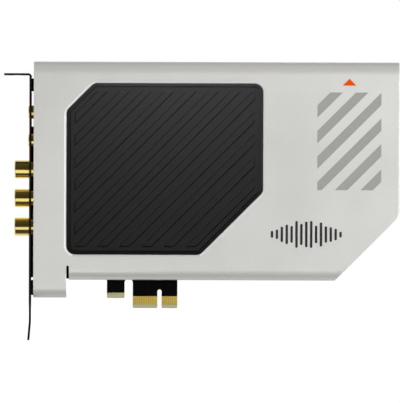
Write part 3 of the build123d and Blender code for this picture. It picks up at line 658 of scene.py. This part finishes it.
legStart = 0.02  # past the body's side


def legRule(settings):
    def rule(place, normal):
        fromRow = min(abs(place.z - row) for row in settings["rows"])
        return "legMetal" if fromRow > settings["half"] + legStart else "chipBlack"
    return rule


chipBody = surface("chipBlack", chipBlack)
legTin = surface("legMetal", legMetal)
for name in plainChips:
    dress(name, chipBody)
for name, chip in leggedChips.items():
    dressByRule(name, {"chipBlack": chipBody, "legMetal": legTin}, legRule(chip))
dress("capacitor_bases", housingPlastic)
dress("capacitor_cans", surface("canMetal", canMetal))
dress("clock_crystals", surface("crystalMetal", crystalMetal))
dress("film_capacitors", surface("filmCase", filmCase))
dress("relays", surface("relayCase", relayCase))
dress("power_inductors", surface("ferriteCore", ferriteCore))
print("board parts done")


# Small solids gathered into one mesh a piece; x and z in millimetres, heights out of the board's face
boardHalf = round(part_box("circuit_board")[1].y / mm, 3)
front, rear = -1, 1
mitreLimit = 0.3  # least cosine that a trace's mitre is worked out for


def newShape():
    return {"points": [], "faces": [], "kinds": []}


def addFaces(shape, points, faces, kind=0):
    start = len(shape["points"])
    shape["points"] += [tuple(value * mm for value in point) for point in points]
    shape["faces"] += [tuple(start + corner for corner in face) for face in faces]
    shape["kinds"] += [kind] * len(faces)


def outward(side, height):
    return side * (boardHalf + height)


def addBox(shape, side, xs, zs, heights, kind):
    ys = sorted(outward(side, height) for height in heights)
    points = [(x, y, z) for x in xs for y in ys for z in zs]
    faces = [(0, 1, 3, 2), (4, 6, 7, 5), (0, 4, 5, 1), (2, 3, 7, 6), (0, 2, 6, 4), (1, 5, 7, 3)]
    addFaces(shape, points, faces, kind)


# A lathe's profile is pairs of radius and height
def addLathe(shape, side, x, z, profile, sides=16):
    points = []
    for radius, height in profile:
        for step in range(sides):
            angle = 2 * math.pi * step / sides
            points.append((x + radius * math.cos(angle), outward(side, height), z + radius * math.sin(angle)))
    faces = []
    for ring in range(len(profile) - 1):
        for step in range(sides):
            ahead = (step + 1) % sides
            near = ring * sides
            faces.append((near + step, near + ahead, near + sides + ahead, near + sides + step))
    addFaces(shape, points, faces)


def ringProfile(inner, outer, height):
    return [(inner, 0), (inner, height), (outer, height), (outer, 0)]


def discProfile(radius, height):
    return [(radius, 0), (radius, height), (0, height)]


def shifted(path, offset):
    moved = []
    for index, (x, z) in enumerate(path):
        before = path[max(index - 1, 0)]
        after = path[min(index + 1, len(path) - 1)]
        arrive = Vector((x - before[0], z - before[1]))
        depart = Vector((after[0] - x, after[1] - z))
        first = (arrive if index else depart).normalized()
        second = (depart if index < len(path) - 1 else arrive).normalized()
        bend = (first + second).normalized()
        reach = offset / max(bend.dot(first), mitreLimit)
        moved.append((x - bend.y * reach, z + bend.x * reach))
    return moved


def addRibbon(shape, side, path, width, height):
    left = shifted(path, width / 2)
    right = shifted(path, -width / 2)
    points = []
    for pair in zip(left, right):
        for x, z in pair:
            points += [(x, outward(side, 0), z), (x, outward(side, height), z)]
    faces = []
    for step in range(len(path) - 1):
        near = 4 * step
        faces.append((near + 1, near + 5, near + 7, near + 3))
        faces.append((near, near + 4, near + 5, near + 1))
        faces.append((near + 2, near + 3, near + 7, near + 6))
    addFaces(shape, points, faces)


def addFrame(shape, side, xs, zs, width, height):
    corners = [(xs[0], zs[0]), (xs[1], zs[0]), (xs[1], zs[1]), (xs[0], zs[1])]
    for index, corner in enumerate(corners):
        addRibbon(shape, side, [corner, corners[(index + 1) % 4]], width, height)


def makePiece(shape, name, materials, smooth=False):
    mesh = bpy.data.meshes.new(name)
    mesh.from_pydata(shape["points"], [], shape["faces"])
    for made in materials:
        mesh.materials.append(made)
    mesh.polygons.foreach_set("material_index", shape["kinds"])
    mesh.polygons.foreach_set("use_smooth", [smooth] * len(shape["faces"]))
    work = bmesh.new()
    work.from_mesh(mesh)
    bmesh.ops.recalc_face_normals(work, faces=work.faces)
    work.to_mesh(mesh)
    work.free()
    piece = bpy.data.objects.new(name, mesh)
    scene.collection.objects.link(piece)
    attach(piece, "root")


# Places on the board, read from the CAD pieces in millimetres
microns = 1e6  # in a metre; points that agree to one are the same
leadReach = 1.2  # only leads stand this far past the board's middle


def islands(name):
    mesh = cad[name].data
    spots = {}
    same = []
    for vertex in mesh.vertices:
        spot = tuple(round(value * microns) for value in vertex.co)
        same.append(spots.setdefault(spot, vertex.index))
    parent = list(range(len(same)))

    def topOf(index):
        while parent[index] != index:
            parent[index] = parent[parent[index]]
            index = parent[index]
        return index

    for edge in mesh.edges:
        first, second = (topOf(same[index]) for index in edge.vertices)
        parent[first] = second
    gathered = {}
    for vertex in mesh.vertices:
        gathered.setdefault(topOf(same[vertex.index]), []).append(vertex.co / mm)
    return list(gathered.values())


def middle(points):
    xs = [point.x for point in points]
    zs = [point.z for point in points]
    return ((min(xs) + max(xs)) / 2, (min(zs) + max(zs)) / 2)


def centres(name):
    return [middle(points) for points in islands(name)]


def leadTips(name):
    tips = [[point for point in points if point.y > leadReach] for points in islands(name)]
    return [middle(points) for points in tips if points]


screwPlaces = centres("shroud_screws")
earScrews = centres("bracket_screws")
capacitorPlaces = centres("capacitor_cans")
print("screws", len(screwPlaces), len(earScrews), "capacitors", len(capacitorPlaces))


# Solder on the rear, round the sockets' leads and over the other through-hole parts
solderFinish = {
    "colour": tone(206, 206, 202), "spread": 0.05, "grain": 1600, "smudge": 260, "rough": (0.16, 0.34),
    "bump": 0.00002, "metal": 1.0,
}
leadFillet = [(1.35, 0), (1.12, 0.06), (0.92, 0.22), (0.8, 0.45), (0.72, 0.62), (0.66, 0.62), (0.66, 0)]
pinDome = [(1.05, 0), (0.95, 0.12), (0.74, 0.36), (0.45, 0.56), (0.0, 0.64)]
pinPlaces = {  # from the part's middle
    "film_capacitors": [(-2.5, 0), (2.5, 0)],
    "relays": [(x, z) for x in (-4.0, -1.4, 1.4, 4.0) for z in (-2.5, 2.5)],
    "clock_crystals": [(-2.4, 0), (2.4, 0)],
}


def makeSolder():
    shape = newShape()
    leads = []
    for name in jackNames:
        leads += leadTips(name + "_springs")
    for name in phonoNames:
        leads += leadTips(name + "_barrel") + leadTips(name + "_contact")
    print("leads", len(leads))
    for x, z in leads:
        addLathe(shape, rear, x, z, leadFillet)
    for name, pins in pinPlaces.items():
        for x, z in centres(name):
            for pinX, pinZ in pins:
                addLathe(shape, rear, x + pinX, z + pinZ, pinDome)
    makePiece(shape, "solder_joints", [surface("solder", solderFinish)], smooth=True)


# Gold rings round the screws, test points and corner dots
padSettings = {
    "height": 0.03, "rearRing": (2.82, 3.35), "frontRing": (2.95, 3.5), "ringSides": 32,
    "testRow": {"x": 70.0, "z": 98.5, "pitch": 3.2, "count": 7, "radius": 0.75},
    "testColumn": {"x": 92.0, "z": 60.0, "pitch": 3.2, "count": 5, "radius": 0.6},
    "cornerDots": {"places": ((-30.0, 106.5), (103.0, 106.0), (84.0, 30.0)), "radius": 0.9},
}


def makePads(settings):
    shape = newShape()
    height = settings["height"]
    sides = settings["ringSides"]
    rearRing = ringProfile(*settings["rearRing"], height)
    frontRing = ringProfile(*settings["frontRing"], height)
    for x, z in screwPlaces + earScrews:
        addLathe(shape, rear, x, z, rearRing, sides)
    for x, z in screwPlaces:
        addLathe(shape, front, x, z, frontRing, sides)
    row = settings["testRow"]
    for step in range(row["count"]):
        x = row["x"] + row["pitch"] * step
        addLathe(shape, rear, x, row["z"], discProfile(row["radius"], height))
    column = settings["testColumn"]
    for step in range(column["count"]):
        z = column["z"] + column["pitch"] * step
        addLathe(shape, rear, column["x"], z, discProfile(column["radius"], height))
    dots = settings["cornerDots"]
    for x, z in dots["places"]:
        addLathe(shape, rear, x, z, discProfile(dots["radius"], height))
    makePiece(shape, "board_pads", [contactGold])


# Copper under the mask: bundles of traces with 45 degree turns, and vias
traceFinish = {
    "colour": tone(27, 28, 29), "spread": 0.15, "grain": 1800, "smudge": 70, "rough": (0.26, 0.38),
    "bump": 0.000006, "shine": 0.3,
}
viaFinish = {
    "colour": tone(96, 82, 48), "spread": 0.1, "grain": 2600, "smudge": 200, "rough": (0.3, 0.45),
    "bump": 0.000006, "metal": 0.7,
}
traceHeight = 0.035
viaSettings = {
    "profile": [(0.34, 0), (0.34, 0.045), (0.16, 0.045), (0.16, 0.01), (0, 0.01)], "sides": 10,
    "lowest": 8.0,  # a trace's end below this is at a contact and has no via
    "rows": (
        {"x": -32.0, "z": 108.4, "pitch": 5.2, "count": 26},
        {"x": 12.0, "z": 14.6, "pitch": 3.7, "count": 18},
    ),
    "scattered": {"seed": 11, "count": 110, "xs": (-44, 98), "zs": (46, 96), "screwRoom": 4.5},
}
# A bundle is its middle line, the count of its traces, their pitch and their width
rearTraces = [
    ([(-6.6, 6.0), (-6.6, 13.5), (-4.6, 15.5), (-4.6, 24.0)], 6, 1.0, 0.3),
    ([(4.6, 6.0), (4.6, 14.0), (2.2, 16.4), (2.2, 24.0)], 5, 1.0, 0.3),
    ([(-2.0, 29.0), (-2.0, 40.0)], 8, 0.8, 0.25),
    ([(-9.0, 50.0), (-12.0, 53.0), (-12.0, 61.0), (-15.0, 64.0), (-19.0, 64.0)], 5, 0.7, 0.25),
    ([(-6.0, 54.0), (-6.0, 70.0), (-14.0, 78.0), (-20.0, 78.0)], 4, 0.8, 0.25),
    ([(-24.0, 60.0), (-30.0, 60.0), (-33.0, 57.0), (-33.0, 38.0)], 4, 0.9, 0.3),
    ([(-24.0, 66.0), (-38.0, 66.0), (-44.0, 60.0), (-44.0, 40.0)], 3, 1.1, 0.4),
    ([(-24.0, 80.0), (-32.0, 80.0), (-40.0, 88.0), (-44.0, 88.0)], 4, 1.0, 0.4),
    ([(-22.0, 92.0), (-22.0, 86.0), (-14.0, 78.0), (-2.0, 78.0)], 3, 1.0, 0.35),
    ([(4.0, 50.0), (14.0, 60.0), (14.0, 84.0), (22.0, 92.0), (58.0, 92.0), (64.0, 86.0), (90.0, 86.0)],
     5, 0.9, 0.3),
    ([(6.0, 44.0), (24.0, 44.0), (30.0, 50.0), (54.0, 50.0)], 4, 1.1, 0.45),
    ([(4.0, 26.0), (18.0, 26.0), (24.0, 20.0), (64.0, 20.0)], 3, 1.6, 0.9),
    ([(30.0, 40.0), (30.0, 32.0), (36.0, 26.0), (70.0, 26.0), (82.0, 38.0), (96.0, 38.0)], 3, 1.4, 0.7),
    ([(54.0, 56.0), (66.0, 68.0), (66.0, 78.0), (72.0, 84.0), (72.0, 96.0)], 6, 0.8, 0.25),
    ([(76.0, 52.0), (88.0, 64.0), (88.0, 80.0)], 5, 0.9, 0.3),
]
frontTraces = [
    ([(66.0, 58.0), (78.0, 58.0), (90.0, 70.0), (104.0, 70.0)], 6, 0.9, 0.3),
    ([(66.0, 76.0), (76.0, 76.0), (86.0, 86.0), (104.0, 86.0)], 5, 1.1, 0.4),
    ([(66.0, 94.0), (104.0, 94.0)], 3, 1.5, 0.8),
]


def addVia(shape, side, x, z):
    addLathe(shape, side, x, z, viaSettings["profile"], viaSettings["sides"])


def makeTraces():
    shape = newShape()
    holes = newShape()
    for side, bundles in ((rear, rearTraces), (front, frontTraces)):
        for path, count, pitch, width in bundles:
            for step in range(count):
                lane = shifted(path, (step - (count - 1) / 2) * pitch)
                addRibbon(shape, side, lane, width, traceHeight)
                for x, z in (lane[0], lane[-1]):
                    if z > viaSettings["lowest"]:
                        addVia(holes, side, x, z)
    for row in viaSettings["rows"]:
        for step in range(row["count"]):
            addVia(holes, rear, row["x"] + row["pitch"] * step, row["z"])
    scattered = viaSettings["scattered"]
    chance = random.Random(scattered["seed"])
    for step in range(scattered["count"]):
        x = chance.uniform(*scattered["xs"])
        z = chance.uniform(*scattered["zs"])
        gaps = [math.hypot(x - screwX, z - screwZ) for screwX, screwZ in screwPlaces + earScrews]
        if min(gaps) > scattered["screwRoom"]:
            addVia(holes, rear, x, z)
    makePiece(shape, "board_traces", [surface("trace", traceFinish)])
    makePiece(holes, "board_vias", [surface("via", viaFinish)])


# Surface-mount parts with tinned ends; each kind is its finish's place in the mesh
capacitor, resistor, tinnedEnd = range(3)
passiveSizes = {  # length, width, height and an end's share of the length
    capacitor: (1.6, 0.8, 0.75, 0.24),
    resistor: (1.6, 0.8, 0.45, 0.2),
}
passiveLift = 0.04
endGrow = 0.02  # an end stands this far out of the body
capacitorBody = {
    "colour": tone(150, 118, 84), "spread": 0.05, "grain": 2600, "smudge": 200, "rough": (0.4, 0.55),
    "bump": 0.000006,
}
resistorBody = {
    "colour": tone(24, 24, 26), "spread": 0.1, "grain": 2600, "smudge": 200, "rough": (0.25, 0.4),
    "bump": 0.000006,
}
# A cluster is x, z, columns, rows, the two steps, whether its parts are upright, and their kind
rearPassives = [
    (-7.0, 41.5, 4, 4, 3.3, 3.4, True, capacitor),
    (-23.0, 58.5, 3, 2, 3.0, 7.0, False, capacitor),
    (-22.5, 74.5, 3, 2, 2.6, 7.2, True, resistor),
    (-38.5, 35.0, 2, 3, 5.2, 13.0, True, resistor),
    (-29.5, 39.0, 2, 3, 5.2, 13.0, False, capacitor),
    (-7.5, 17.8, 7, 1, 1.9, 1.0, True, capacitor),
    (27.5, 38.5, 10, 1, 3.2, 1.0, True, capacitor),
    (27.5, 53.5, 10, 1, 3.2, 1.0, True, resistor),
    (28.0, 63.0, 5, 3, 8.0, 9.0, False, capacitor),
    (-6.0, 93.6, 6, 1, 4.4, 1.0, False, resistor),
    (76.0, 56.5, 4, 1, 2.4, 1.0, True, capacitor),
    (74.0, 90.5, 9, 1, 2.4, 1.0, True, resistor),
    (12.5, 31.0, 4, 1, 2.4, 1.0, True, capacitor),
    (-35.0, 92.0, 4, 1, 2.6, 1.0, True, resistor),
]
frontPassives = [
    (68.0, 107.0, 11, 1, 2.6, 1.0, True, capacitor),
    (68.5, 47.5, 9, 1, 2.6, 1.0, True, resistor),
    (68.5, 43.5, 9, 1, 2.6, 1.0, True, capacitor),
    (69.0, 36.0, 6, 2, 3.4, 3.2, False, capacitor),
]


def addPassive(shape, side, x, z, upright, kind):
    length, width, height, end = passiveSizes[kind]
    stretches = ((-0.5, end - 0.5, tinnedEnd), (end - 0.5, 0.5 - end, kind), (0.5 - end, 0.5, tinnedEnd))
    for low, high, finish in stretches:
        grow = endGrow if finish == tinnedEnd else 0.0
        run = (length * low, length * high)
        across = (-width / 2 - grow, width / 2 + grow)
        xs, zs = (across, run) if upright else (run, across)
        heights = (passiveLift, height + grow)
        addBox(shape, side, [x + value for value in xs], [z + value for value in zs], heights, finish)


def makePassives():
    shape = newShape()
    for side, clusters in ((rear, rearPassives), (front, frontPassives)):
        for x, z, columns, rows, stepX, stepZ, upright, kind in clusters:
            for column in range(columns):
                for row in range(rows):
                    addPassive(shape, side, x + column * stepX, z + row * stepZ, upright, kind)
    materials = [surface("capacitorBody", capacitorBody), surface("resistorBody", resistorBody), legTin]
    makePiece(shape, "board_passives", materials)


# White component outlines
inkFinish = {
    "colour": tone(206, 206, 200), "spread": 0.06, "grain": 2600, "smudge": 120, "rough": (0.5, 0.65),
    "bump": 0.000006,
}
inkSettings = {
    "line": 0.18, "height": 0.05, "dotRadius": 0.3, "dotSides": 12, "dotLeft": 0.8, "dotUp": 0.4,
    "canRing": (3.0, 3.18), "canSides": 40,
}
inkFrames = [  # left, right, low and high
    (-10.5, 6.5, 39.0, 54.5), (-25.5, -14.5, 56.5, 68.0), (-24.5, -15.5, 72.0, 84.0),
    (-9.5, 6.0, 16.0, 19.6), (25.5, 58.5, 36.8, 40.2), (25.5, 58.5, 51.8, 55.2),
    (72.6, 95.0, 88.8, 92.2), (-28.6, -1.4, 93.2, 102.4), (68.0, 92.0, 96.6, 100.4),
]


def makeInk(settings):
    shape = newShape()
    line = settings["line"]
    height = settings["height"]
    dot = discProfile(settings["dotRadius"], height)
    for left, right, low, high in inkFrames:
        addFrame(shape, rear, (left, right), (low, high), line, height)
        addLathe(shape, rear, left - settings["dotLeft"], high + settings["dotUp"], dot, settings["dotSides"])
    for name in jackNames + phonoNames:
        low, high = (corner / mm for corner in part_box(name + "_housing"))
        addFrame(shape, rear, (low.x, high.x), (low.z, high.z), line, height)
    canRing = ringProfile(*settings["canRing"], height)
    for x, z in capacitorPlaces:
        addLathe(shape, rear, x, z, canRing, settings["canSides"])
    makePiece(shape, "board_ink", [surface("boardInk", inkFinish)])


makeSolder()
makePads(padSettings)
makeTraces()
makePassives()
makeInk(inkSettings)
print("board details done")
